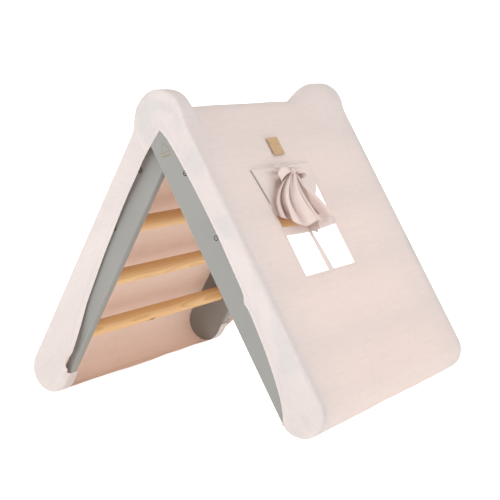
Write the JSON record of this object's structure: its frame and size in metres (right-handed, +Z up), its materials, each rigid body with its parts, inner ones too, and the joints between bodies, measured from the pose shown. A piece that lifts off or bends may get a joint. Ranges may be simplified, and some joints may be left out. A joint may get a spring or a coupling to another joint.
{
  "type": "folding climbing triangle with fabric tent cover",
  "caption": "Toddler's climbing triangle: two ladders hinged at a top rung, under a fitted fabric tent cover with an open gable at each end and a curtained window.",
  "frame": {"origin": "on the floor, at the middle of the object's footprint", "axes": "+X towards the window side, across the spread of the two ladders; +Y along the rungs towards the far gable; +Z up"},
  "size_m": [0.6868, 0.604, 0.6069],
  "materials": {
    "painted_board": "warm grey paint, matt",
    "pine_rung": "clear lacquered pine, satin",
    "steel_fastener": "zinc plated",
    "cover_cloth": "pale pink linen weave",
    "curtain_cloth": "dusty pink linen weave",
    "leather_label": "tan, smooth"
  },
  "bodies": {
    "outer_ladder": {"outer_board_near": "painted_board", "outer_board_far": "painted_board", "outer_rung_1": "pine_rung", "outer_rung_2": "pine_rung", "outer_rung_3": "pine_rung", "outer_rung_4": "pine_rung", "outer_screws_near": "steel_fastener", "outer_screws_far": "steel_fastener", "cover_panel_outer": "cover_cloth", "cover_ridge": "cover_cloth", "cover_head_near": "cover_cloth", "cover_head_far": "cover_cloth", "cover_band_outer_near": "cover_cloth", "cover_band_outer_far": "cover_cloth", "hem_outer_near": "cover_cloth", "hem_outer_far": "cover_cloth", "window_bar_upright": "cover_cloth", "window_bar_cross": "cover_cloth", "curtain": "curtain_cloth", "curtain_tie": "curtain_cloth", "leather_label": "leather_label"},
    "inner_ladder": {"inner_board_near": "painted_board", "inner_board_far": "painted_board", "inner_rung_1": "pine_rung", "inner_rung_2": "pine_rung", "inner_rung_3": "pine_rung", "inner_rung_4": "pine_rung", "hinge_rung": "pine_rung", "hinge_bolt_near": "steel_fastener", "hinge_bolt_far": "steel_fastener", "hinge_inserts": "steel_fastener", "hinge_washers": "steel_fastener", "inner_screws_near": "steel_fastener", "inner_screws_far": "steel_fastener", "cover_panel_inner": "cover_cloth", "cover_band_inner_near": "cover_cloth", "cover_band_inner_far": "cover_cloth", "hem_inner_near": "cover_cloth", "hem_inner_far": "cover_cloth"}
  },
  "joints": [
    {"name": "fold", "type": "hinge", "parent": "outer_ladder", "child": "inner_ladder", "pos_m": [0, 0, 0.55265], "axis": [0, -1, 0], "range_deg": [0, 30]}
  ]
}
